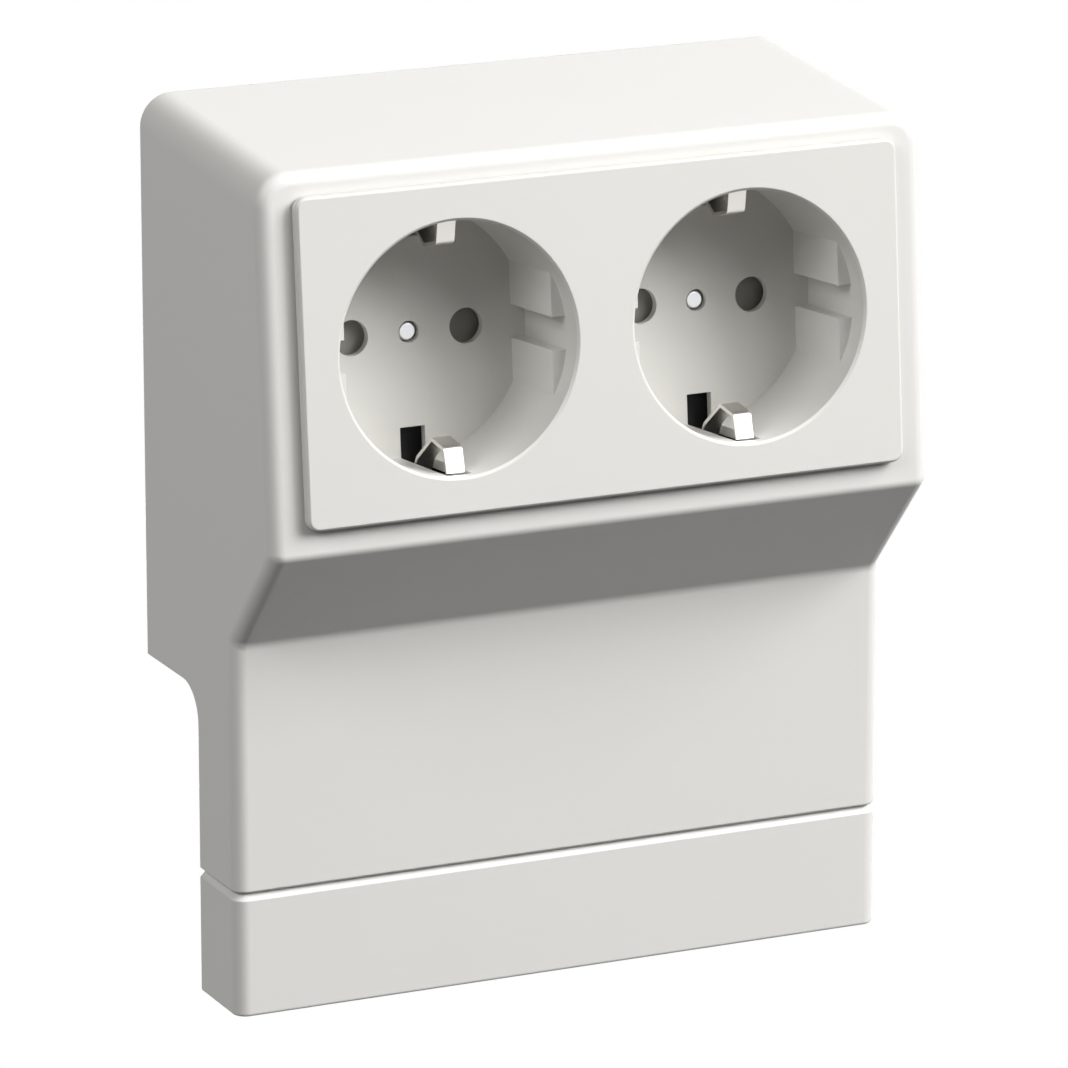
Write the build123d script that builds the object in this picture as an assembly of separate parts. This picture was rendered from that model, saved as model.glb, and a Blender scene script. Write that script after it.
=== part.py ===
from build123d import *
import os
from itertools import product
from math import asin, atan2, copysign, cos, degrees, hypot, radians, sin, tan

# Double wall socket that straddles a skirting trunking. Millimetres, X to the right, Y into the wall,
# Z up. Heights below are counted from the underside of the lower strip; the finished pieces are set down
# with the middle of the wall-screw slots at the origin, on the wall plane.

# Housing: a moulded box with a tilted socket face, a receding chin and an apron in front of the trunking
top_slope = 4.3
face_tilt = 4.7
nose_depth = 50.8
apron_depth = 35.0
chin_foot_rise = 10.3
chin_height = 17.3
wall = 2.2
top_corner_radius = 5.0
front_edge_radius = 2.2
nose_radius = 1.6
chin_foot_radius = 2.0
apron_edge_chamfer = 0.3

# Trunking that passes behind the apron
trunking_depth = 20.0
trunking_height = 48.4
trunking_clearance = 0.6
trunking_corner_radius = 6.0

# Lower strip, clipped to the apron by tongues
strip_height = 19.9
strip_joint_gap = 0.25
strip_top_chamfer = 1.0
strip_edge_radius = 0.5
strip_lip_rise = 2.0
tongue_count = 3
tongue_pitch = 38.0
tongue_width = 14.0
tongue_thickness = 1.6
tongue_rise = 9.0
tongue_root = 7.0
tongue_clearance = 0.15

# Stiffening ribs inside the housing
rib_thickness = 1.4
apron_rib_depth = 4.0
apron_rib_offset = 19.0
roof_rib_height = 3.5
roof_rib_front = 20.0
roof_rib_rear = 1.0
roof_rib_offset = 34.0

# Snap fit between the housing's sides and the mounting base
snap_low_margin = 22.0
snap_high_margin = 16.0
snap_length = 14.0
snap_reach = 1.2
snap_depth = 9.0
snap_thickness = 2.4
snap_clearance = 0.3

# Mounting base, screwed to the wall
base_plate_thickness = 2.5
base_plate_foot = 3.0
base_plate_top_gap = 7.7
base_plate_corner = 3.0
cheek_thickness = 2.0
cheek_depth = 12.0
cheek_margin = 6.0
rim_thickness = 1.6
rim_depth = 7.0
wall_screw_rise = 46.0
wall_screw_spacing = 60.0
wall_slot_length = 10.0
wall_slot_width = 4.6
slot_pad_margin = 3.5
slot_pad_height = 1.5
cable_notch_width = 44.0
cable_notch_height = 16.0
cable_notch_radius = 4.0

# Socket plate with its two wells, in the frame of the tilted face: x across, y up the face, z outwards
well_diameter = 38.8
well_gap = 9.6
well_side_margin = 6.1
well_end_margin = 5.7
plate_side_margin = 5.3
plate_top_margin = 3.43
plate_bottom_margin = 4.2
plate_proud = 1.95
plate_corner_radius = 1.8
plate_edge_chamfer = 0.35
shadow_gap = 0.3
seat_inset = 0.9
window_lip = 2.4
window_corner_radius = 2.0
skirt_clearance = 0.25
skirt_wall = 1.9
skirt_depth = 6.0
well_depth = 19.05
well_wall = 1.5
well_rim_chamfer = 0.4
well_floor = 1.4
guide_chord = 17.0
guide_ledge_depth = 4.0
guide_groove_height = 5.1
pin_spacing = 19.0
pin_hole_diameter = 5.5
earth_slot_width = 4.1
earth_window_depth = 4.8
earth_slot_end = 2.0
pivot_diameter = 6.0

# Rotary shutters behind the pin holes
shutter_setback = 2.4
shutter_thickness = 1.5
shutter_hub_diameter = 9.0
shutter_arm_width = 6.2
shutter_arm_overlap = 3.1
shutter_clearance = 0.2
pivot_clearance = 0.05
spring_radius = 8.0
spring_thickness = 0.3
spring_height = 1.1
spring_gap = 0.25
spring_post_angle = 95.0
post_width = 2.0
stop_offset = 7.0
shutter_travel = 40.0

# Contact base and rear cover
base_bearing = 2.2
base_wall = 1.8
base_corner_radius = 2.4
chamber_wall = 1.2
partition = 1.5
chamber_depth = 9.0
seat_clearance = 0.1
tower_diameter = 6.0
cover_thickness = 2.0
boss_width = 3.0
boss_height = 0.6
screw_hole_clearance = 0.25

# Contacts, bars, terminals and screws
fit_clearance = 0.05
contact_width = 5.0
contact_height = 6.4
contact_strip = 0.6
contact_grip = 4.4
contact_grip_setback = 2.6
contact_pocket_clearance = 0.1
contact_pocket_wall = 1.0
contact_pocket_setback = 0.4
bar_thickness = 0.8
bar_width = 5.0
bar_offset = 7.0
bar_tag_width = 6.0
clip_thickness = 0.6
clip_width = 3.0
clip_bend_radius = 0.8
clip_wall_gap = 0.6
clip_ring_wall = 1.6
clip_apex_reach = 4.6
clip_apex_setback = 8.6
clip_crook_reach = 3.7
clip_crook_setback = 4.3
clip_rear_foot_reach = 0.9
clip_rear_foot_setback = 14.3
clip_front_foot_setback = 3.5
clip_heel = 2.4
earth_bar_width = 3.0
terminal_width = 8.0
terminal_height = 7.0
earth_terminal_offset = 13.0
terminal_pocket_wall = 1.2
terminal_pocket_clearance = 0.15
terminal_pocket_height = 4.0
terminal_wall = 0.8
wire_hole_size = 3.2
wire_hole_offset = 1.7
terminal_leaf = 0.4
terminal_leaf_width = 5.6
terminal_leaf_bend = 0.9
terminal_leaf_lift = 1.0
assembly_screw_radius = 1.65
screw_end_setback = 0.6
assembly_head_radius = 2.7
assembly_head_height = 2.0

# Heights and depths that follow from the sizes above
overrun = 20.0
well_spacing = well_diameter + well_gap
plate_width = well_spacing + well_diameter + 2 * well_side_margin
plate_height = well_diameter + 2 * well_end_margin
plate_rise = plate_height / 2 + plate_bottom_margin
width = plate_width + 2 * plate_side_margin
inner_half_width = width / 2 - wall
apron_rear = trunking_depth + trunking_clearance
box_floor = trunking_height + trunking_clearance
chin_foot_height = box_floor + chin_foot_rise
nose_height = chin_foot_height + chin_height
chin_run = (nose_depth - apron_depth) / (nose_height - chin_foot_height)
roof_slope = tan(radians(top_slope))
face_length = plate_rise + plate_height / 2 + plate_top_margin
face_top = (
    -nose_depth + face_length * sin(radians(face_tilt)),
    nose_height + face_length * cos(radians(face_tilt)),
)
rear_height = face_top[1] - face_top[0] * roof_slope
base_plate_low = box_floor + base_plate_foot
base_plate_high = rear_height - base_plate_top_gap
snap_heights = (base_plate_low + snap_low_margin, base_plate_high - snap_high_margin)
wall_screw_height = box_floor + wall_screw_rise
well_radius = well_diameter / 2
well_outer_radius = well_radius + well_wall
well_centres = (-well_spacing / 2, well_spacing / 2)
pin_offset = pin_spacing / 2
window_width = plate_width - 2 * window_lip
window_height = plate_height - 2 * window_lip
floor_front = plate_proud - well_depth
floor_back = floor_front - well_floor
shutter_front = floor_front - shutter_setback
shutter_back = shutter_front - shutter_thickness
partition_front = shutter_back - shutter_clearance
partition_back = partition_front - partition
cover_front = partition_back - chamber_depth
cover_back = cover_front - cover_thickness
shutter_reach = pin_offset + shutter_arm_overlap
shutter_half_width = shutter_arm_width / 2
shutter_swing = hypot(shutter_reach, shutter_half_width)
shutter_corner_angle = shutter_travel + degrees(atan2(shutter_half_width, shutter_reach))
chamber_half_width = shutter_swing + 2 * shutter_clearance
chamber_half_height = shutter_swing * sin(radians(shutter_corner_angle)) + 2 * shutter_clearance
contact_base_width = window_width + 2 * base_bearing
contact_base_height = window_height + 2 * base_bearing
bar_back = cover_front + boss_height
bar_front = bar_back + bar_thickness
bridge_back = partition_back - clip_thickness
clip_arm = well_outer_radius + clip_wall_gap + clip_thickness / 2
earth_bar_back = bridge_back - bar_thickness
earth_bar_offset = clip_arm - (earth_bar_width + clip_thickness) / 2
terminal_offset = earth_bar_offset - (terminal_height + earth_bar_width) / 2 - clip_wall_gap
terminal_front = partition_back - seat_clearance
screw_hole_radius = assembly_screw_radius + screw_hole_clearance
pocket_half_width = contact_width / 2 + contact_pocket_clearance
pocket_half_height = contact_height / 2 + contact_pocket_clearance
live_pins = [x - pin_offset for x in well_centres]
terminal_places = [(0, terminal_offset), (0, -terminal_offset), (well_centres[1], earth_terminal_offset)]
wire_spots = [(x, y + copysign(wire_hole_offset, y)) for x, y in terminal_places]
spring_arm_angle = degrees(asin(shutter_half_width / spring_radius))
post_half_angle = degrees(post_width / 2 / spring_radius)
gap_angle = degrees(spring_gap / spring_radius)

face_frame = Plane(
    origin=(
        0,
        -nose_depth + plate_rise * sin(radians(face_tilt)),
        nose_height + plate_rise * cos(radians(face_tilt)),
    ),
    x_dir=(1, 0, 0),
    z_dir=(0, -cos(radians(face_tilt)), sin(radians(face_tilt))),
)
origin_shift = Pos(0, 0, -wall_screw_height)


def on_face(shape):
    """A shape drawn in the frame of the tilted socket face, set into the housing's frame."""
    return face_frame.location * shape


def block(x0, x1, y0, y1, z0, z1):
    """A box between two corners."""
    corner = Pos(x0, y0, z0)
    return corner * Box(x1 - x0, y1 - y0, z1 - z0, align=(Align.MIN, Align.MIN, Align.MIN))


def at(x, y, shape):
    """A shape moved across the face."""
    return Pos(x, y, 0) * shape


def rod(radius, z0, z1):
    """A cylinder along z between two levels."""
    return Pos(0, 0, z0) * Cylinder(radius, z1 - z0, align=(Align.CENTER, Align.CENTER, Align.MIN))


def peg(half_width, half_height, z0, z1):
    """A rectangular block about the z axis between two levels."""
    return block(-half_width, half_width, -half_height, half_height, z0, z1)


def square_tube(half_width, half_height, thickness, z0, z1):
    """A rectangular sleeve around an opening of this size."""
    outside = peg(half_width + thickness, half_height + thickness, z0, z1)
    return outside - peg(half_width, half_height, z0, z1)


def slab(length, height, radius, z0, z1):
    """A plate with rounded corners between two levels."""
    return Pos(0, 0, z0) * extrude(RectangleRounded(length, height, radius), z1 - z0)


def side_profile(points, half_width):
    """A solid with this outline in the Y-Z plane, as wide as the housing or its inside."""
    outline = make_face(Polyline(*points, close=True))
    return extrude(Plane.YZ * outline, half_width, both=True)


def along_x(edges):
    """The edges that run across the housing."""
    return edges.filter_by(Axis.X)


def nearest_across(form, y, z):
    """The edge across the housing that lies nearest to a point of its side outline."""
    return along_x(form.edges()).sort_by_distance((0, y, z))[0]


def upright_form(bottom, top):
    """The apron's outer form between two heights, with rounded front edges."""
    form = block(-width / 2, width / 2, -apron_depth, -apron_rear, bottom, top)
    uprights = form.edges().filter_by(Axis.Z).group_by(Axis.Y)[0]
    return fillet(uprights, front_edge_radius)


def outer_rim(form, pick):
    """The front and side edges of a form's lowest (0) or highest (-1) face, without its rear edge."""
    rim = form.faces().sort_by(Axis.Z)[pick].edges()
    return rim - rim.filter_by(Axis.X).group_by(Axis.Y)[-1]


def upper_box():
    """The box with the socket face, rounded along its roof, its face and its chin."""
    behind = -apron_depth + wall
    points = [
        (0, rear_height),
        face_top,
        (-nose_depth, nose_height),
        (behind, chin_foot_height - wall / chin_run),
        (behind, box_floor),
        (0, box_floor),
    ]
    box = side_profile(points, width / 2)
    roof = box.faces().sort_by(Axis.Z)[-1]
    box = fillet(roof.edges() - along_x(roof.edges()), top_corner_radius)
    front = box.faces().filter_by(lambda f: f.normal_at().Y < -0.9).sort_by(Axis.Y)[0]
    chin = box.faces().filter_by(lambda f: f.normal_at().Z < -0.2 and f.normal_at().Y < -0.2)[0]
    nose = front.edges().sort_by(Axis.Z)[0]
    chin_sides = chin.edges() - along_x(chin.edges())
    box = fillet(front.edges() - ShapeList([nose]) + chin_sides, front_edge_radius)
    return fillet(nearest_across(box, -nose_depth, nose_height), nose_radius)


def housing_outside():
    """Upper box and apron in one form, with the round corner that clears the trunking."""
    lower = upright_form(strip_height, chin_foot_height + wall)
    lower = chamfer(outer_rim(lower, 0), apron_edge_chamfer)
    form = upper_box() + lower
    form = fillet(nearest_across(form, -apron_rear, box_floor), trunking_corner_radius)
    return fillet(nearest_across(form, -apron_depth, chin_foot_height), chin_foot_radius)


def housing_inside():
    """The hollow: the same outline drawn one wall further in, open to the rear and downwards."""
    points = [
        (overrun, rear_height + overrun * roof_slope),
        face_top,
        (-nose_depth, nose_height),
        (-apron_depth, chin_foot_height),
        (-apron_depth, -overrun),
        (overrun, -overrun),
    ]
    outline = offset(make_face(Polyline(*points, close=True)), -wall, kind=Kind.INTERSECTION)
    hollow = extrude(Plane.YZ * outline, inner_half_width, both=True)
    roof = hollow.faces().sort_by(Axis.Z)[-1]
    return fillet(roof.edges() - along_x(roof.edges()), top_corner_radius - wall)


def snap_ridges(side):
    """Wedge-shaped ridges on one side wall that spring into the mounting base's windows."""
    face = inner_half_width
    tip = face - snap_reach
    near = -snap_depth + snap_thickness / 2
    far = -snap_depth - snap_thickness / 2
    outline = [(face + wall / 2, far), (face, far), (tip, -snap_depth), (tip, near), (face + wall / 2, near)]
    wedge = make_face(Polyline(*[(side * x, y) for x, y in outline], close=True))
    ridge = extrude(wedge, snap_length / 2, both=True)
    return [Pos(0, 0, height) * ridge for height in snap_heights]


def housing_ribs():
    """Upright ribs behind the apron and ribs under the roof, joined to the walls that they stiffen."""
    ribs = []
    apron_back = -apron_depth + wall
    for x in (-apron_rib_offset, apron_rib_offset):
        left, right = x - rib_thickness / 2, x + rib_thickness / 2
        low = strip_height + tongue_rise
        high = chin_foot_height + wall / 2
        ribs.append(block(left, right, apron_back - wall / 2, apron_back + apron_rib_depth, low, high))
    for x in (-roof_rib_offset, 0, roof_rib_offset):
        under = rear_height - wall - roof_rib_height
        above = rear_height - wall / 2
        front_drop, rear_drop = roof_rib_front * roof_slope, roof_rib_rear * roof_slope
        points = [
            (-roof_rib_front, under - front_drop),
            (-roof_rib_rear, under - rear_drop),
            (-roof_rib_rear, above - rear_drop),
            (-roof_rib_front, above - front_drop),
        ]
        ribs.append(Pos(x, 0, 0) * side_profile(points, rib_thickness / 2))
    return ribs


def housing():
    """The moulded cover: hollow form, socket window, ribs and snap ridges."""
    shell = housing_outside() - housing_inside()
    window = slab(window_width, window_height, window_corner_radius, -2 * wall, plate_proud)
    shell = shell - on_face(window)
    for piece in housing_ribs() + snap_ridges(-1) + snap_ridges(1):
        shell = shell + piece
    return shell


def strip_tongue(left, right, rise):
    """A tongue on the strip that stands up behind the apron, with its root on the strip's front wall."""
    top = strip_height - strip_joint_gap
    behind = -apron_depth + wall
    back = behind + tongue_clearance + tongue_thickness
    root = block(left, right, behind - wall / 2, back, top - tongue_root, top)
    blade = block(left, right, behind + tongue_clearance, back, top, top + rise)
    tip = nearest_across(blade, behind, top + rise)
    return root + chamfer(tip, tongue_thickness / 2)


def base_strip():
    """The lower strip: a shallow tray on edge, with tongues and a low lip that slide up behind the apron."""
    top = strip_height - strip_joint_gap
    form = upright_form(0, top)
    form = chamfer(outer_rim(form, -1), strip_top_chamfer)
    form = fillet(outer_rim(form, 0), strip_edge_radius)
    inside = block(-inner_half_width, inner_half_width, -apron_depth + wall, overrun, wall, overrun + top)
    lip_half = inner_half_width - snap_clearance
    strip = form - inside + strip_tongue(-lip_half, lip_half, strip_lip_rise)
    for place in GridLocations(tongue_pitch, 0, tongue_count, 1):
        middle = place.position.X
        strip = strip + strip_tongue(middle - tongue_width / 2, middle + tongue_width / 2, tongue_rise)
    return strip


def mounting_base():
    """The tray that is screwed to the wall: plate, top rim, cheeks with snap windows, slots, cable notch."""
    half = inner_half_width - snap_clearance
    low, high = base_plate_low, base_plate_high
    plate = block(-half, half, -base_plate_thickness, 0, low, high)
    uprights = plate.edges().filter_by(Axis.Y)
    base = fillet(uprights, base_plate_corner)
    rim_left = -half + base_plate_corner
    base = base + block(rim_left, -rim_left, -rim_depth, 0, high - rim_thickness, high)
    for side in (-1, 1):
        outer, inner = side * half, side * (half - cheek_thickness)
        x0, x1 = min(outer, inner), max(outer, inner)
        base = base + block(x0, x1, -cheek_depth, 0, low + cheek_margin, high - cheek_margin)
        for height in snap_heights:
            reach = snap_length / 2 + snap_clearance
            depth = snap_thickness / 2 + snap_clearance
            y0, y1 = -snap_depth - depth, -snap_depth + depth
            base = base - block(x0 - wall, x1 + wall, y0, y1, height - reach, height + reach)
    for x in (-wall_screw_spacing / 2, wall_screw_spacing / 2):
        pad = Rectangle(wall_slot_length + 2 * slot_pad_margin, wall_slot_width + 2 * slot_pad_margin)
        slot = SlotOverall(wall_slot_length, wall_slot_width)
        spot = Plane((x, 0, wall_screw_height), x_dir=(1, 0, 0), z_dir=(0, -1, 0))
        base = base + extrude(spot * pad, base_plate_thickness + slot_pad_height)
        base = base - extrude(spot * slot, 2 * (base_plate_thickness + slot_pad_height), both=True)
    notch_top = low + cable_notch_height
    notch_half = cable_notch_width / 2
    notch = block(-notch_half, notch_half, -2 * base_plate_thickness, overrun, low - overrun, notch_top)
    corners = notch.edges().filter_by(Axis.Y).group_by(Axis.Z)[-1]
    return base - fillet(corners, cable_notch_radius)


def well_cavity():
    """The space inside one well: a round bore less the flat guides, which a groove splits in two."""
    bore = rod(well_radius, floor_front, plate_proud)
    ledge = plate_proud - guide_ledge_depth
    reach = well_radius + well_wall
    for side in (-1, 1):
        x0, x1 = sorted((side * guide_chord, side * reach))
        for up in (-1, 1):
            y0, y1 = sorted((up * guide_groove_height / 2, up * reach))
            bore = bore - block(x0, x1, y0, y1, floor_front, ledge)
    return bore


def socket_plate():
    """Front plate with two wells in one moulding."""
    flange = slab(plate_width, plate_height, plate_corner_radius, shadow_gap, plate_proud)
    flange = chamfer(flange.faces().sort_by(Axis.Z)[-1].edges(), plate_edge_chamfer)
    skirt_width, skirt_height = window_width - 2 * skirt_clearance, window_height - 2 * skirt_clearance
    hollow = peg(skirt_width / 2 - skirt_wall, skirt_height / 2 - skirt_wall, -skirt_depth, 0)
    plate = flange + peg(plate_width / 2 - seat_inset, plate_height / 2 - seat_inset, 0, shadow_gap)
    plate = plate + slab(skirt_width, skirt_height, window_corner_radius, -skirt_depth, 0) - hollow
    for x in well_centres:
        plate = plate + at(x, 0, rod(well_outer_radius, floor_back, plate_proud / 2))
        plate = plate + at(x, 0, rod(pivot_diameter / 2, partition_front, floor_back))
    for x in well_centres:
        plate = plate - at(x, 0, well_cavity())
    rims = plate.edges().filter_by(GeomType.CIRCLE).group_by(Axis.Z)[-1]
    plate = chamfer(rims.filter_by(lambda e: abs(e.radius - well_radius) < fit_clearance), well_rim_chamfer)
    window = well_radius - earth_window_depth
    slot_half = earth_slot_width / 2
    slot_outer = skirt_height / 2 + skirt_clearance
    for x in well_centres:
        for side in (-1, 1):
            y0, y1 = sorted((side * window, side * slot_outer))
            plate = plate - block(
                x - slot_half, x + slot_half, y0, y1, floor_back, plate_proud - earth_slot_end
            )
            plate = plate - at(x + side * pin_offset, 0, rod(pin_hole_diameter / 2, floor_back, floor_front))
        plate = plate - at(x, 0, rod(assembly_screw_radius + fit_clearance, partition_front, floor_front))
    return plate


def shutter(x):
    """A rotary shutter: hub on the pivot and two arms that close the pin holes."""
    hub_front = floor_back - shutter_clearance
    disc = rod(shutter_hub_diameter / 2, shutter_back, hub_front)
    disc = disc + peg(shutter_reach, shutter_half_width, shutter_back, shutter_front)
    return at(x, 0, disc - rod(pivot_diameter / 2 + pivot_clearance, shutter_back, hub_front))


def shutter_spring(x):
    """A leaf spring bent to an arc between its post and the shutter's arm."""
    start = -spring_post_angle + post_half_angle + gap_angle
    sweep_angle = spring_post_angle - post_half_angle - spring_arm_angle - 2 * gap_angle
    line = CenterArc((0, 0), spring_radius, start, sweep_angle)
    low = shutter_back + (shutter_thickness - spring_height) / 2
    return Pos(x, 0, low) * extrude(trace(line, spring_thickness), spring_height)


def earth_clip(x):
    """One bent strip that reaches both earth slots: bridge behind the partition, arms, contact tips."""
    apex = well_radius - clip_apex_reach
    rear_foot = well_radius - clip_rear_foot_reach
    front_foot = well_radius
    half_points = [
        (clip_arm, (partition_back + bridge_back) / 2),
        (clip_arm, plate_proud - clip_rear_foot_setback - clip_heel),
        (rear_foot, plate_proud - clip_rear_foot_setback),
        (apex, plate_proud - clip_apex_setback),
        (well_radius - clip_crook_reach, plate_proud - clip_crook_setback),
        (front_foot, plate_proud - clip_front_foot_setback),
    ]
    lower = [(-y, z) for y, z in reversed(half_points)]
    line = FilletPolyline(*lower, *half_points, radius=clip_bend_radius)
    strip = extrude(Plane.YZ * trace(line, clip_thickness), clip_width / 2, both=True)
    hole_radius = tower_diameter / 2 + seat_clearance
    ring_half = hole_radius + clip_ring_wall
    strip = strip + peg(ring_half, ring_half, bridge_back, partition_back)
    return at(x, 0, strip - rod(hole_radius, bridge_back, partition_back))


def contact_base():
    """The insulating base: outer wall, partition, shutter chambers, contact towers and terminal pockets."""
    inner_half_size = contact_base_width / 2 - base_wall, contact_base_height / 2 - base_wall
    base = slab(contact_base_width, contact_base_height, base_corner_radius, cover_front, -wall)
    base = base - peg(*inner_half_size, partition_front, -wall)
    base = base - peg(*inner_half_size, cover_front, partition_back)
    chamber_front = floor_back - seat_clearance
    stop_height = shutter_half_width + spring_gap + post_width / 2
    slot_half = clip_width / 2 + clip_wall_gap
    chamber = square_tube(
        chamber_half_width, chamber_half_height, chamber_wall, partition_front, chamber_front
    )
    post = peg(post_width / 2, post_width / 2, partition_front, shutter_front)
    pocket = square_tube(
        pocket_half_width,
        pocket_half_height,
        contact_pocket_wall,
        bar_front + contact_pocket_setback,
        partition_back,
    )
    window = peg(pocket_half_width, pocket_half_width, partition_back, partition_front)
    for x in well_centres:
        base = base + at(x, 0, chamber) + at(x, 0, rod(tower_diameter / 2, cover_front, partition_back))
        base = base + at(x, 0, Rot(0, 0, -spring_post_angle) * Pos(spring_radius, 0, 0) * post)
        base = base + at(x + stop_offset, stop_height, post)
        for side in (-1, 1):
            base = base + at(x + side * pin_offset, 0, pocket) - at(x + side * pin_offset, 0, window)
            y0, y1 = sorted((side * (clip_arm - clip_bend_radius), side * (clip_arm + clip_wall_gap)))
            base = base - block(x - slot_half, x + slot_half, y0, y1, partition_back, partition_front)
        base = base - at(x, 0, rod(screw_hole_radius, cover_front, partition_front))
    inner = terminal_width / 2 + terminal_pocket_clearance
    for x, y in terminal_places:
        low, high = y - terminal_height / 2, y + terminal_height / 2
        pocket_back = partition_back - terminal_pocket_height
        for x0 in (x - inner - terminal_pocket_wall, x + inner):
            base = base + block(x0, x0 + terminal_pocket_wall, low, high, pocket_back, partition_back)
    return base


def wire_hole(spot, z0, z1):
    """The square hole through which a wire is pushed into its terminal."""
    return at(*spot, peg(wire_hole_size / 2, wire_hole_size / 2, z0, z1))


def contact_cover():
    """Rear cover: bosses that hold the bars, wire holes and screw holes."""
    cover = slab(contact_base_width, contact_base_height, base_corner_radius, cover_back, cover_front)
    boss = peg(boss_width / 2, boss_width / 2, cover_front, bar_back)
    for turn, x in product((1, -1), (well_centres[0], live_pins[1] / 2)):
        cover = cover + at(turn * x, turn * bar_offset, boss)
    for spot in wire_spots:
        cover = cover - wire_hole(spot, cover_back, cover_front)
    for x in well_centres:
        cover = cover - at(x, 0, rod(screw_hole_radius, cover_back, cover_front))
    return cover


def live_bar():
    """Punched strip that joins the two live contacts and carries their terminal."""
    half, tag = bar_width / 2, bar_tag_width / 2
    low, high = bar_offset - half, bar_offset + half
    bar = block(live_pins[0] - tag, live_pins[1] + tag, low, high, bar_back, bar_front)
    for x in live_pins:
        bar = bar + block(x - tag, x + tag, -tag, high, bar_back, bar_front)
    half = terminal_width / 2
    bar = bar + block(-half, half, low, terminal_offset + terminal_height / 2, bar_back, bar_front)
    return bar - wire_hole(wire_spots[0], bar_back, bar_front)


def neutral_bar():
    """The live bar turned half round."""
    return Rot(0, 0, 180) * live_bar()


def earth_bar():
    """Strip welded across the bridges of the two earth clips."""
    half = earth_bar_width / 2
    reach = well_centres[1] + half
    low, high = earth_bar_offset - half, earth_bar_offset + half
    return block(-reach, reach, low, high, earth_bar_back, bridge_back)


def pin_contact(x):
    """A strip bent to two leaves that grip the pin, welded to its bar."""
    front = partition_back - seat_clearance
    mouth = (contact_height - contact_strip) / 2
    grip = (contact_grip + contact_strip) / 2
    half_points = [
        (mouth, bar_front + contact_strip / 2),
        (grip, front - contact_grip_setback),
        (mouth, front),
    ]
    mirrored = [(-y, z) for y, z in reversed(half_points)]
    outline = trace(Polyline(*mirrored, *half_points), contact_strip)
    strip = extrude(Plane.YZ * outline, contact_width / 2, both=True)
    return at(x, 0, strip & peg(contact_width, contact_height, bar_front, front))


def terminal(index, back, front):
    """A punched cage, open at two sides, with a wire hole towards the rear."""
    x, y = terminal_places[index]
    half_width, half_height = terminal_width / 2, terminal_height / 2
    cage = peg(half_width, half_height, back, front)
    cage = cage - peg(half_width - terminal_wall, half_height, back + terminal_wall, front - terminal_wall)
    return at(x, y, cage) - wire_hole(wire_spots[index], back, back + terminal_wall)


def terminal_spring(index, back, front):
    """The folded leaf in a terminal's cage that grips the wire."""
    x, y = terminal_places[index]
    rest = front - terminal_wall - terminal_leaf / 2
    reach = terminal_height / 2 - terminal_leaf
    tip = wire_hole_offset - wire_hole_size / 2
    points = [(reach, rest), (-reach, rest), (tip, back + terminal_wall + terminal_leaf_lift)]
    leaf = trace(FilletPolyline(*points, radius=terminal_leaf_bend), terminal_leaf)
    strip = extrude(Plane.YZ * leaf, terminal_leaf_width / 2, both=True)
    return at(x, y, strip if y > 0 else Rot(0, 0, 180) * strip)


def assembly_screws():
    """Screws that draw plate, base and cover together; their ends show in the wells."""
    head = rod(assembly_head_radius, cover_back - assembly_head_height, cover_back)
    screw = head + rod(assembly_screw_radius, cover_back, floor_front - screw_end_setback)
    return Compound(children=[at(x, 0, screw) for x in well_centres])


def save(name, shape):
    """Write one piece, with the origin at the wall screws."""
    export_step(origin_shift * shape, os.path.join("parts", name + ".step"))


os.makedirs("parts", exist_ok=True)
save("housing", housing())
save("base_strip", base_strip())
save("mounting_base", mounting_base())
face_pieces = {
    "socket_plate": socket_plate(),
    "contact_base": contact_base(),
    "contact_cover": contact_cover(),
    "live_bar": live_bar(),
    "neutral_bar": neutral_bar(),
    "earth_bar": earth_bar(),
    "assembly_screws": assembly_screws(),
}
for side, x in zip(("left", "right"), well_centres):
    face_pieces["shutter_" + side] = shutter(x)
    face_pieces["shutter_spring_" + side] = shutter_spring(x)
    face_pieces["earth_clip_" + side] = earth_clip(x)
    face_pieces["live_contact_" + side] = pin_contact(x - pin_offset)
    face_pieces["neutral_contact_" + side] = pin_contact(x + pin_offset)
terminal_levels = {"live": (bar_front, terminal_front), "neutral": (bar_front, terminal_front)}
terminal_levels["earth"] = (bar_back, bridge_back)
for index, (pole, levels) in enumerate(terminal_levels.items()):
    face_pieces[pole + "_terminal"] = terminal(index, *levels)
    face_pieces[pole + "_terminal_spring"] = terminal_spring(index, *levels)
for name, shape in face_pieces.items():
    save(name, on_face(shape))
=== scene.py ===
from math import cos, pi, radians, sin

import bmesh
import bpy
from bpy.props import FloatProperty, FloatVectorProperty, PointerProperty
from mathutils import Matrix, Vector


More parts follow.
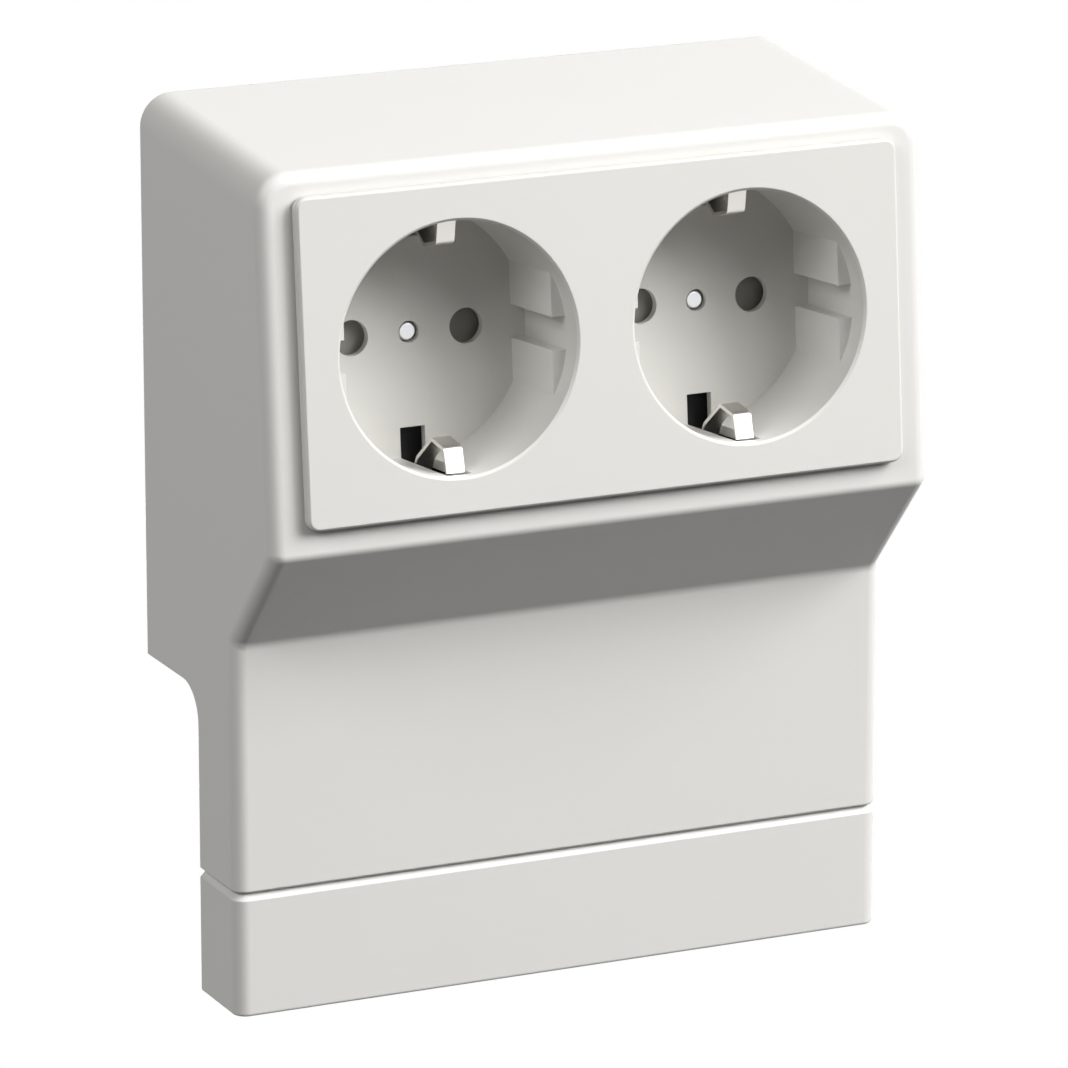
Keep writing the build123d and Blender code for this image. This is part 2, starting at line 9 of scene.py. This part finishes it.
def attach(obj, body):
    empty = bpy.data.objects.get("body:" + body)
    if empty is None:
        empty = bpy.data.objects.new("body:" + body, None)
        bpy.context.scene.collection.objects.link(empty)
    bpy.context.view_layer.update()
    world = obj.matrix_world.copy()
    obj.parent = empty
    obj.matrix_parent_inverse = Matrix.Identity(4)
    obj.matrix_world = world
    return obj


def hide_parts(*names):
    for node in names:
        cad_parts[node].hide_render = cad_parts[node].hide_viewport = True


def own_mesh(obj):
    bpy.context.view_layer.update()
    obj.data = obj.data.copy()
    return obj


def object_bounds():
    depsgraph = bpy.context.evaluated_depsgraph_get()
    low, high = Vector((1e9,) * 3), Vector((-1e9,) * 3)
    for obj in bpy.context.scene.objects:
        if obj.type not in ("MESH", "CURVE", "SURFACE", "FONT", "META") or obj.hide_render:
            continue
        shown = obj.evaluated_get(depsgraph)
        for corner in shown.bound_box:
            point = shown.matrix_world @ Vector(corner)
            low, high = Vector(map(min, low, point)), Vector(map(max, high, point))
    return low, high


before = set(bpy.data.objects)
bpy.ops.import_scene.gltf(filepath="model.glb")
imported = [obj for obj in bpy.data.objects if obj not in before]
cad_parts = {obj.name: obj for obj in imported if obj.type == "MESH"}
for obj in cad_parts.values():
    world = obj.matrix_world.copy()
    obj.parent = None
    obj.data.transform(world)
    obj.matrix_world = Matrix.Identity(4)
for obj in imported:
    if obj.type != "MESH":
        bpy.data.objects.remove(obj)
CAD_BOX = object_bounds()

bl_info = {
    "name": "Double trunking socket",
    "version": (1, 0, 0),
    "blender": (4, 5, 0),
    "location": "3D View > Sidebar > Socket",
    "description": "Finishes and fine pieces of a double socket that straddles a skirting trunking",
    "category": "Object",
}

MM = 0.001

# The tilted socket face: x across, y up the face, z outwards, in millimetres
FACE_TILT = radians(4.7)
FACE_ORIGIN = Vector((0.0, -48.4, 10.8))
WELL_CENTRES = {"left": -24.2, "right": 24.2}
FLOOR_FRONT = -17.1
COVER_BACK = -33.7
SHUTTER_MIDDLE = -20.25

# Heads of the assembly screws, in millimetres, with the angles round their back edge in degrees
HEAD_HEIGHT = 2.0
HEAD_BACK = COVER_BACK - HEAD_HEIGHT
HEAD_FLAT_RADIUS = 2.05
HEAD_ROUNDING = 0.65
HEAD_ROUNDING_ANGLES = range(0, 91, 15)
HEAD_RADIUS = 2.7
HEAD_CHAMFER = 0.1
SLOT_SIZE = (8.0, 0.8, 1.6)

# Shanks and points of the assembly screws, in millimetres
SHANK_LENGTH = 2.2
THREAD_CORE = 1.3
THREAD_CREST = 1.63
POINT_SETBACK = 0.6
POINT_LENGTH = 1.6
POINT_RADIUS = 1.4
POINT_STEP = 0.1
POINT_CHAMFER = 0.2

# Form of the thread: steepness of its flanks, fullness of its crest and rings along one turn
FLANK_STEEPNESS = 2.6
CREST_FULLNESS = 1.25
RINGS_PER_TURN = 8
SIDES_OF_A_RING = 48

# Leaf springs of the shutters: strips bent to an arc, in millimetres, with its ends in degrees
LEAF_RADIUS = 8.0
LEAF_HALF_THICKNESS = 0.15
LEAF_HALF_HEIGHT = 0.55
LEAF_CORNER = 0.07
LEAF_START = -86.0
LEAF_END = -24.6
LEAF_STEPS = 28

# Edges sharper than this stay crisp
CRISP_EDGE = radians(35)

# Plastics: name, roughness and the pieces moulded from them
PLASTICS = {
    "cover": ("cover_plastic_fine", 0.46, ("housing", "base_strip")),
    "plate": ("plate_plastic_fine", 0.36, ("socket_plate",)),
    "base": ("base_plastic_fine", 0.5, ("mounting_base",)),
    "insulator": ("insulator_fine", 0.55, ("contact_base", "contact_cover")),
    "shutter": ("shutter_plastic_fine", 0.42, ("shutter_left", "shutter_right")),
}

# Metals: roughness, and how closely the drawn lines follow each other along x, y and z
METALS = {
    "nickel_fine": (0.34, (1.0, 0.08, 0.08)),
    "brass_fine": (0.32, (0.08, 1.0, 1.0)),
    "leaf_steel_fine": (0.3, (1.0, 0.1, 0.1)),
    "spring_steel_fine": (0.28, (0.1, 1.0, 1.0)),
    "zinc_fine": (0.3, (1.0, 1.0, 0.1)),
}
CLIP_NODES = ("earth_clip_left", "earth_clip_right")
BRASS_NODES = (
    "live_bar",
    "neutral_bar",
    "earth_bar",
    "live_contact_left",
    "live_contact_right",
    "neutral_contact_left",
    "neutral_contact_right",
    "live_terminal",
    "neutral_terminal",
    "earth_terminal",
)
TERMINAL_SPRING_NODES = ("live_terminal_spring", "neutral_terminal_spring", "earth_terminal_spring")

# Marks in the finishes: repeats per metre and detail
MOTTLE = (45.0, 3.0)
FLOW = (12.0, 1.0)
DRAWN_LINES = (2500.0, 3.0)
TARNISH = (260.0, 3.0)
GRAIN_DETAIL = 2.0

# Moulded finish: darkest tint, share of the mottle in the tint, spread of the roughness, gloss and relief
PLASTIC_SHADE = 0.965
MOTTLE_SHARE = 0.6
GRAIN_SPREAD = 0.08
MOTTLE_SPREAD = 0.06
PLASTIC_IOR = 1.5
PLASTIC_GLOSS = 0.25
GRAIN_RELIEF = 0.6

# Metal finish: dullest tint, share of the tarnish in the tint, spread of the roughness and relief
METAL_SHADE = 0.86
TARNISH_SHARE = 0.7
LINE_SPREAD = 0.12
TARNISH_SPREAD = 0.1
LINE_RELIEF = 0.35
LINE_DEPTH = 0.00001

# Softened edges of plastics and metals, and how much of the plastics' rounding the metals have
EDGE_SAMPLES = 6
METAL_EDGE_SHARE = 0.6

# Places of the share, the two colours and the result in a mixture of colours
MIX_FACTOR = 0
MIX_FIRST_COLOUR = 6
MIX_SECOND_COLOUR = 7
MIX_COLOUR = 2

# The stage: a floor well below the socket, which hangs on a wall, in metres
WHITE = (1.0, 1.0, 1.0, 1.0)
FILL_TINT = (1.0, 0.96, 0.88, 1.0)
FLOOR_GREY = (0.07, 0.07, 0.07, 1.0)
FLOOR_SIZE = 6.0
FLOOR_DROP = 0.45

# The middle of the socket, to which the lamps are turned, and their distance from it, in metres
LIGHT_AIM = Vector((0.0, -0.03, -0.02))
LIGHT_DISTANCE = 2.0

# Lamps: direction from the middle of the socket, and diameter in metres
LAMPS = {
    "front": ((0.68, -1.00, 0.95), 1.4),
    "right": ((1.00, -0.65, 0.78), 1.4),
    "left": ((-1.00, -0.50, 0.80), 1.2),
    "side": ((-1.00, 0.42, 0.12), 1.1),
    "back": ((0.20, 1.00, -0.20), 1.0),
}

# The camera: sensor and lens in millimetres, place in metres, dip and turn from straight ahead in degrees
CAMERA_SENSOR = 36.0
CAMERA_LENS = 247.05
CAMERA_NEAR = 0.05
CAMERA_PLACE = (-0.4589, -1.01823, 0.27658)
CAMERA_DIP = 15.498
CAMERA_TURN = 24.781
LEVEL = 90


class SocketSettings(bpy.types.PropertyGroup):
    """Colours, finishes and light of the socket."""

    cover_colour: FloatVectorProperty(
        name="Cover",
        description="Moulded cover and strip",
        subtype="COLOR",
        size=3,
        default=(0.68, 0.673, 0.65),
    )
    plate_colour: FloatVectorProperty(
        name="Plate",
        description="Front plate with its wells",
        subtype="COLOR",
        size=3,
        default=(0.655, 0.647, 0.62),
    )
    base_colour: FloatVectorProperty(
        name="Mounting base",
        description="Tray on the wall",
        subtype="COLOR",
        size=3,
        default=(0.66, 0.66, 0.64),
    )
    # Near-black, darker than the insulator's own grey: painted shade that makes the slots and openings behind
    # the plate read dark
    insulator_colour: FloatVectorProperty(
        name="Insulator",
        description="Contact base and rear cover",
        subtype="COLOR",
        size=3,
        default=(0.05, 0.05, 0.052),
    )
    shutter_colour: FloatVectorProperty(
        name="Shutters",
        description="Shutters behind the pin holes",
        subtype="COLOR",
        size=3,
        default=(0.30, 0.295, 0.27),
    )
    nickel_colour: FloatVectorProperty(
        name="Nickel", description="Plated earth clips", subtype="COLOR", size=3, default=(0.82, 0.80, 0.76)
    )
    brass_colour: FloatVectorProperty(
        name="Brass",
        description="Bars, contacts and terminals",
        subtype="COLOR",
        size=3,
        default=(0.78, 0.58, 0.26),
    )
    steel_colour: FloatVectorProperty(
        name="Steel", description="Springs", subtype="COLOR", size=3, default=(0.58, 0.58, 0.59)
    )
    zinc_colour: FloatVectorProperty(
        name="Zinc", description="Plated screws", subtype="COLOR", size=3, default=(0.80, 0.81, 0.82)
    )
    grain_size: FloatProperty(
        name="Grain",
        description="Size of the moulded grain",
        unit="LENGTH",
        default=0.00035,
        min=0.00005,
        precision=5,
    )
    grain_depth: FloatProperty(
        name="Grain depth",
        description="Height of the moulded grain",
        unit="LENGTH",
        default=0.00001,
        min=0.0,
        precision=6,
    )
    edge_rounding: FloatProperty(
        name="Edge rounding",
        description="Softening of moulded edges",
        unit="LENGTH",
        default=0.0002,
        min=0.0,
        precision=5,
    )
    thread_pitch: FloatProperty(
        name="Thread pitch",
        description="Pitch of the assembly screws",
        unit="LENGTH",
        default=0.0006,
        min=0.0003,
        precision=5,
    )
    front_power: FloatProperty(
        name="Front light", description="Power of the light in front", unit="POWER", default=25.5, min=0.0
    )
    right_power: FloatProperty(
        name="Right light", description="Power of the light on the right", unit="POWER", default=47.5, min=0.0
    )
    left_power: FloatProperty(
        name="Left light", description="Power of the light on the left", unit="POWER", default=20.2, min=0.0
    )
    side_power: FloatProperty(
        name="Side light",
        description="Power of the light behind on the left",
        unit="POWER",
        default=1.7,
        min=0.0,
    )
    back_power: FloatProperty(
        name="Back light", description="Power of the light behind", unit="POWER", default=46.0, min=0.0
    )
    fill_strength: FloatProperty(
        name="Fill light", description="Strength of the light from all round", default=0.02, min=0.0
    )


class Sock:
    """One value in a node tree, with arithmetic that makes the nodes for it."""

    def __init__(self, graph, socket):
        self.graph = graph
        self.socket = socket

    def math(self, operation, first, second):
        """A maths node fed by two values."""
        return self.graph.node("ShaderNodeMath", {"operation": operation}, {0: first, 1: second})

    def __add__(self, other):
        return self.math("ADD", self, other)

    def __radd__(self, other):
        return self.math("ADD", other, self)

    def __mul__(self, other):
        return self.math("MULTIPLY", self, other)

    def __rmul__(self, other):
        return self.math("MULTIPLY", other, self)

    def larger(self, other):
        """The larger of two values."""
        return self.math("MAXIMUM", self, other)


class Graph:
    """A node tree that is filled one node at a time."""

    def __init__(self, owner):
        owner.use_nodes = True
        self.tree = owner.node_tree
        self.tree.nodes.clear()

    def node(self, kind, settings, sockets, output=0):
        """Any node: its settings first, then its sockets by name or number; gives one of its outputs."""
        made = self.tree.nodes.new(kind)
        for key, value in settings.items():
            setattr(made, key, value)
        for key, value in sockets.items():
            place = made.inputs[key]
            if isinstance(value, Sock):
                self.tree.links.new(value.socket, place)
            else:
                place.default_value = value
        return Sock(self, made.outputs[output]) if made.outputs else None

    def mix(self, factor, first, second):
        """A mixture of two colours."""
        sockets = {MIX_FACTOR: factor, MIX_FIRST_COLOUR: first, MIX_SECOND_COLOUR: second}
        return self.node("ShaderNodeMix", {"data_type": "RGBA"}, sockets, MIX_COLOUR)

    def mix_shaders(self, factor, first, second):
        """A mixture of two shaders."""
        return self.node("ShaderNodeMixShader", {}, {0: factor, 1: first, 2: second})

    def noise(self, where, scale, detail):
        """Noise of this scale, about one half."""
        return self.node("ShaderNodeTexNoise", {}, {"Vector": where, "Scale": scale, "Detail": detail})

    def relief(self, height, strength, depth, rounding):
        """A normal with softened edges and with this height on it."""
        soft = self.node("ShaderNodeBevel", {"samples": EDGE_SAMPLES}, {"Radius": rounding})
        sockets = {"Strength": strength, "Distance": depth, "Height": height, "Normal": soft}
        return self.node("ShaderNodeBump", {}, sockets)

    def seen(self):
        """One for rays that show the background itself, nought for light on the object."""
        names = ("Is Camera Ray", "Is Glossy Ray", "Is Transmission Ray")
        camera, glossy, through = [self.node("ShaderNodeLightPath", {}, {}, name) for name in names]
        return camera.larger(glossy).larger(through)


def opaque(colour):
    """A colour with full alpha."""
    return (*colour, 1.0)


def plastic(settings, name, colour, roughness):
    """Moulded thermoplastic: fine grain, faint flow mottle and softened edges."""
    material = bpy.data.materials.new(name)
    graph = Graph(material)
    where = graph.node("ShaderNodeTexCoord", {}, {}, "Object")
    grain = graph.noise(where, 1 / settings.grain_size, GRAIN_DETAIL)
    mottle = graph.noise(where, *MOTTLE)
    flow = graph.noise(where, *FLOW)
    shade = tuple(value * PLASTIC_SHADE for value in colour)
    marks = mottle * MOTTLE_SHARE + flow * (1 - MOTTLE_SHARE)
    smoothest = roughness - (GRAIN_SPREAD + MOTTLE_SPREAD) / 2
    surface = graph.node(
        "ShaderNodeBsdfPrincipled",
        {},
        {
            "Base Color": graph.mix(marks, opaque(shade), opaque(colour)),
            "Roughness": grain * GRAIN_SPREAD + mottle * MOTTLE_SPREAD + smoothest,
            "IOR": PLASTIC_IOR,
            "Specular IOR Level": PLASTIC_GLOSS,
            "Normal": graph.relief(grain, GRAIN_RELIEF, settings.grain_depth, settings.edge_rounding),
        },
    )
    graph.node("ShaderNodeOutputMaterial", {}, {"Surface": surface})
    return material


def metal(settings, name, colour):
    """Worked metal: drawn lines along one direction, faint tarnish and softened edges."""
    roughness, stretch = METALS[name]
    material = bpy.data.materials.new(name)
    graph = Graph(material)
    where = graph.node("ShaderNodeTexCoord", {}, {}, "Object")
    along = graph.node("ShaderNodeMapping", {}, {"Vector": where, "Scale": stretch})
    lines = graph.noise(along, *DRAWN_LINES)
    tarnish = graph.noise(where, *TARNISH)
    dull = tuple(value * METAL_SHADE for value in colour)
    marks = tarnish * TARNISH_SHARE + lines * (1 - TARNISH_SHARE)
    smoothest = roughness - (LINE_SPREAD + TARNISH_SPREAD) / 2
    rounding = settings.edge_rounding * METAL_EDGE_SHARE
    surface = graph.node(
        "ShaderNodeBsdfPrincipled",
        {},
        {
            "Base Color": graph.mix(marks, opaque(dull), opaque(colour)),
            "Metallic": 1.0,
            "Roughness": lines * LINE_SPREAD + tarnish * TARNISH_SPREAD + smoothest,
            "Normal": graph.relief(lines, LINE_RELIEF, LINE_DEPTH, rounding),
        },
    )
    graph.node("ShaderNodeOutputMaterial", {}, {"Surface": surface})
    return material


def dress(names, material):
    """Give pieces their finish."""
    for name in names:
        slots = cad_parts[name].data.materials
        slots.clear()
        slots.append(material)


def dress_moulding(settings, moulding):
    """Give the pieces of one plastic their finish."""
    name, roughness, pieces = PLASTICS[moulding]
    dress(pieces, plastic(settings, name, getattr(settings, moulding + "_colour"), roughness))


def face_matrix():
    """From the tilted face's millimetres to the shared frame's metres."""
    turn = Matrix(
        (
            (1, 0, 0),
            (0, sin(FACE_TILT), -cos(FACE_TILT)),
            (0, cos(FACE_TILT), sin(FACE_TILT)),
        )
    )
    return Matrix.Translation(FACE_ORIGIN * MM) @ (turn * MM).to_4x4()


def face_object(name, shape):
    """An object from a shape drawn in the face's millimetres."""
    mesh = bpy.data.meshes.new(name)
    shape.to_mesh(mesh)
    shape.free()
    mesh.transform(face_matrix())
    made = bpy.data.objects.new(name, mesh)
    bpy.context.scene.collection.objects.link(made)
    return made


def add_piece(name, shape, material, body):
    """A new piece from a shape drawn in the face's millimetres."""
    bmesh.ops.recalc_face_normals(shape, faces=shape.faces)
    piece = face_object(name, shape)
    piece.data.materials.append(material)
    piece.data.shade_smooth()
    piece.data.set_sharp_from_angle(angle=CRISP_EDGE)
    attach(piece, body)
    return piece


def subtract(piece, shape):
    """Cut a shape drawn in the face's millimetres out of a piece."""
    cutter = face_object("cutter", shape)
    modifier = piece.modifiers.new("cut", "BOOLEAN")
    modifier.operation = "DIFFERENCE"
    modifier.solver = "EXACT"
    modifier.object = cutter
    bpy.context.view_layer.update()
    result = bpy.data.meshes.new_from_object(piece.evaluated_get(bpy.context.evaluated_depsgraph_get()))
    piece.modifiers.remove(modifier)
    piece.data = result
    bpy.data.objects.remove(cutter)


def skin(rings):
    """A shape with faces between neighbouring closed rings of points, and with both ends closed."""
    shape = bmesh.new()
    rows = [[shape.verts.new(point) for point in ring] for ring in rings]
    count = len(rows[0])
    for lower, upper in zip(rows, rows[1:]):
        for i in range(count):
            j = (i + 1) % count
            shape.faces.new((lower[i], lower[j], upper[j], upper[i]))
    shape.faces.new(reversed(rows[0]))
    shape.faces.new(rows[-1])
    return shape


def turned_ring(x, radii, z):
    """Points round a screw's axis, each at its own radius."""
    angles = [2 * pi * i / SIDES_OF_A_RING for i in range(SIDES_OF_A_RING)]
    return [(x + radius * cos(angle), radius * sin(angle), z) for radius, angle in zip(radii, angles)]


def circle(x, radius, z):
    """A round ring about a screw's axis."""
    return turned_ring(x, [radius] * SIDES_OF_A_RING, z)


def thread_ring(x, z, pitch):
    """One ring of a thread: the radius follows the helix round the axis."""
    radii = []
    for i in range(SIDES_OF_A_RING):
        from_crest = abs((z / pitch - i / SIDES_OF_A_RING) % 1.0 - 0.5)
        height = max(0.0, 1.0 - from_crest * FLANK_STEEPNESS)
        radii.append(THREAD_CORE + (THREAD_CREST - THREAD_CORE) * min(1.0, height * CREST_FULLNESS))
    return turned_ring(x, radii, z)


def screw_shape(x, pitch):
    """A screw put in from the rear: pan head, thread and a plain point."""
    tip = FLOOR_FRONT - POINT_SETBACK
    start = COVER_BACK + SHANK_LENGTH
    end = tip - POINT_LENGTH
    rings = []
    for angle in HEAD_ROUNDING_ANGLES:
        radius = HEAD_FLAT_RADIUS + HEAD_ROUNDING * sin(radians(angle))
        rings.append(circle(x, radius, HEAD_BACK + HEAD_ROUNDING - HEAD_ROUNDING * cos(radians(angle))))
    rings += [
        circle(x, HEAD_RADIUS, COVER_BACK - HEAD_CHAMFER),
        circle(x, HEAD_RADIUS - HEAD_CHAMFER, COVER_BACK),
        circle(x, THREAD_CORE, COVER_BACK),
        circle(x, THREAD_CORE, start),
    ]
    steps = int((end - start) / pitch * RINGS_PER_TURN)
    for i in range(1, steps):
        rings.append(thread_ring(x, start + (end - start) * i / steps, pitch))
    rings += [
        circle(x, THREAD_CORE, end),
        circle(x, POINT_RADIUS, end + POINT_STEP),
        circle(x, POINT_RADIUS, tip - POINT_CHAMFER),
        circle(x, POINT_RADIUS - POINT_CHAMFER, tip),
    ]
    return skin(rings)


def slot_shape(x):
    """The saw cut across a screw's head."""
    shape = bmesh.new()
    bmesh.ops.create_cube(shape, size=1.0)
    place = Matrix.Translation((x, 0, HEAD_BACK)) @ Matrix.Diagonal((*SLOT_SIZE, 1.0))
    bmesh.ops.transform(shape, matrix=place, verts=shape.verts)
    return shape


def leaf_point(x, angle, out=0.0, up=0.0):
    """A point of a leaf spring, at this angle round its well's middle."""
    radius = LEAF_RADIUS + out
    return Vector((x + radius * cos(radians(angle)), radius * sin(radians(angle)), SHUTTER_MIDDLE + up))


def leaf_shape(x):
    """A leaf spring bent to an arc, with the corners of its strip taken off."""
    inner = LEAF_HALF_THICKNESS - LEAF_CORNER
    low = LEAF_HALF_HEIGHT - LEAF_CORNER
    half = [
        (inner, LEAF_HALF_HEIGHT),
        (-inner, LEAF_HALF_HEIGHT),
        (-LEAF_HALF_THICKNESS, low),
        (-LEAF_HALF_THICKNESS, -low),
    ]
    section = half + [(-out, -up) for out, up in half]
    angles = [LEAF_START + (LEAF_END - LEAF_START) * i / LEAF_STEPS for i in range(LEAF_STEPS + 1)]
    return skin([[leaf_point(x, angle, out, up) for out, up in section] for angle in angles])


class SocketOperator(bpy.types.Operator):
    """Base of the socket's operators."""

    bl_options = {"REGISTER", "UNDO"}


class TRUNKING_OT_cover(SocketOperator):
    """Finish of the moulded cover and the lower strip"""

    bl_idname = "trunking_socket.cover"
    bl_label = "Cover and strip"

    def execute(self, context):
        dress_moulding(context.scene.trunking_socket, "cover")
        return {"FINISHED"}


class TRUNKING_OT_plate(SocketOperator):
    """Finish of the front plate with its two wells"""

    bl_idname = "trunking_socket.plate"
    bl_label = "Socket plate"

    def execute(self, context):
        dress_moulding(context.scene.trunking_socket, "plate")
        return {"FINISHED"}


class TRUNKING_OT_inner_mouldings(SocketOperator):
    """Finish of the mounting base, the contact base, its cover and the shutters"""

    bl_idname = "trunking_socket.inner_mouldings"
    bl_label = "Inner mouldings"

    def execute(self, context):
        for moulding in ("base", "insulator", "shutter"):
            dress_moulding(context.scene.trunking_socket, moulding)
        return {"FINISHED"}


class TRUNKING_OT_conductors(SocketOperator):
    """Finish of the earth clips, bars, contacts, terminals and their springs"""

    bl_idname = "trunking_socket.conductors"
    bl_label = "Conductors"

    def execute(self, context):
        settings = context.scene.trunking_socket
        dress(CLIP_NODES, metal(settings, "nickel_fine", settings.nickel_colour))
        dress(BRASS_NODES, metal(settings, "brass_fine", settings.brass_colour))
        dress(TERMINAL_SPRING_NODES, metal(settings, "leaf_steel_fine", settings.steel_colour))
        return {"FINISHED"}


class TRUNKING_OT_shutter_springs(SocketOperator):
    """Leaf springs that the turning shutters press towards their posts"""

    bl_idname = "trunking_socket.shutter_springs"
    bl_label = "Shutter springs"

    def execute(self, context):
        settings = context.scene.trunking_socket
        material = metal(settings, "spring_steel_fine", settings.steel_colour)
        for side, x in WELL_CENTRES.items():
            piece = add_piece("spring_" + side, leaf_shape(x), material, "socket")
            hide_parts("shutter_spring_" + side)
            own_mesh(piece)
        return {"FINISHED"}


class TRUNKING_OT_assembly_screws(SocketOperator):
    """Assembly screws with slots, threads and the plain points that show in the wells"""

    bl_idname = "trunking_socket.assembly_screws"
    bl_label = "Assembly screws"

    def execute(self, context):
        settings = context.scene.trunking_socket
        material = metal(settings, "zinc_fine", settings.zinc_colour)
        pitch = settings.thread_pitch / MM
        for side, x in WELL_CENTRES.items():
            piece = add_piece("screw_" + side, screw_shape(x, pitch), material, "socket")
            subtract(piece, slot_shape(x))
            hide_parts("assembly_screws")
        return {"FINISHED"}


class TRUNKING_OT_stage(SocketOperator):
    """Pale floor, soft light, white background and the camera"""

    bl_idname = "trunking_socket.stage"
    bl_label = "Stage"

    def execute(self, context):
        settings = context.scene.trunking_socket
        self.build_world(context.scene, settings.fill_strength)
        self.build_floor(context.scene)
        for name, (direction, size) in LAMPS.items():
            self.build_light(context.scene, name, direction, size, getattr(settings, name + "_power"))
        self.build_camera(context.scene)
        context.scene.view_settings.view_transform = "Standard"
        return {"FINISHED"}

    def build_world(self, scene, strength):
        """White to the eye and a soft, even light on the object."""
        world = bpy.data.worlds.new("studio")
        scene.world = world
        graph = Graph(world)
        fill = graph.node("ShaderNodeBackground", {}, {"Color": FILL_TINT, "Strength": strength})
        white = graph.node("ShaderNodeBackground", {}, {"Color": WHITE, "Strength": 1.0})
        both = graph.mix_shaders(graph.seen(), fill, white)
        graph.node("ShaderNodeOutputWorld", {}, {"Surface": both})

    def build_floor(self, scene):
        """A wide floor below the socket."""
        shape = bmesh.new()
        bmesh.ops.create_grid(shape, x_segments=1, y_segments=1, size=FLOOR_SIZE)
        mesh = bpy.data.meshes.new("floor")
        shape.to_mesh(mesh)
        shape.free()
        mesh.materials.append(self.floor_finish())
        floor = bpy.data.objects.new("floor", mesh)
        floor.location.z = CAD_BOX[0][2] - FLOOR_DROP
        scene.collection.objects.link(floor)

    def floor_finish(self):
        """White to the eye, matt grey for the light on the object and clear from underneath."""
        material = bpy.data.materials.new("floor")
        graph = Graph(material)
        matt = graph.node("ShaderNodeBsdfDiffuse", {}, {"Color": FLOOR_GREY})
        white = graph.node("ShaderNodeEmission", {}, {"Color": WHITE, "Strength": 1.0})
        both = graph.mix_shaders(graph.seen(), matt, white)
        under = graph.node("ShaderNodeNewGeometry", {}, {}, "Backfacing")
        clear = graph.node("ShaderNodeBsdfTransparent", {}, {})
        surface = graph.mix_shaders(under, both, clear)
        graph.node("ShaderNodeOutputMaterial", {}, {"Surface": surface})
        return material

    def build_light(self, scene, name, direction, size, power):
        """A large round lamp that is turned to the socket."""
        light = bpy.data.lights.new(name, "AREA")
        light.shape = "DISK"
        light.size = size
        light.energy = power
        lamp = bpy.data.objects.new(name, light)
        toward = Vector(direction).normalized()
        lamp.location = LIGHT_AIM + toward * LIGHT_DISTANCE
        lamp.rotation_euler = toward.to_track_quat("Z", "Y").to_euler()
        lamp.visible_camera = False
        scene.collection.objects.link(lamp)

    def build_camera(self, scene):
        """A long lens from the left and above."""
        data = bpy.data.cameras.new("camera")
        data.sensor_width = CAMERA_SENSOR
        data.lens = CAMERA_LENS
        data.clip_start = CAMERA_NEAR
        camera = bpy.data.objects.new("camera", data)
        camera.location = CAMERA_PLACE
        camera.rotation_euler = (radians(LEVEL - CAMERA_DIP), 0, -radians(CAMERA_TURN))
        scene.collection.objects.link(camera)
        scene.camera = camera


OPERATORS = (
    TRUNKING_OT_cover,
    TRUNKING_OT_plate,
    TRUNKING_OT_inner_mouldings,
    TRUNKING_OT_conductors,
    TRUNKING_OT_shutter_springs,
    TRUNKING_OT_assembly_screws,
    TRUNKING_OT_stage,
)


class TRUNKING_PT_panel(bpy.types.Panel):
    """Lists the socket's settings and operators in the sidebar"""

    bl_idname = "TRUNKING_PT_panel"
    bl_label = "Double trunking socket"
    bl_space_type = "VIEW_3D"
    bl_region_type = "UI"
    bl_category = "Socket"

    def draw(self, context):
        settings = context.scene.trunking_socket
        for name in SocketSettings.__annotations__:
            self.layout.prop(settings, name)
        for operator in OPERATORS:
            self.layout.operator(operator.bl_idname)


CLASSES = (SocketSettings, *OPERATORS, TRUNKING_PT_panel)


def register():
    for item in CLASSES:
        bpy.utils.register_class(item)
    bpy.types.Scene.trunking_socket = PointerProperty(type=SocketSettings)


def unregister():
    del bpy.types.Scene.trunking_socket
    for item in reversed(CLASSES):
        bpy.utils.unregister_class(item)


def main():
    """Build every piece in order."""
    register()
    for operator in OPERATORS:
        group, name = operator.bl_idname.split(".")
        getattr(getattr(bpy.ops, group), name)()


if __name__ == "__main__":
    main()
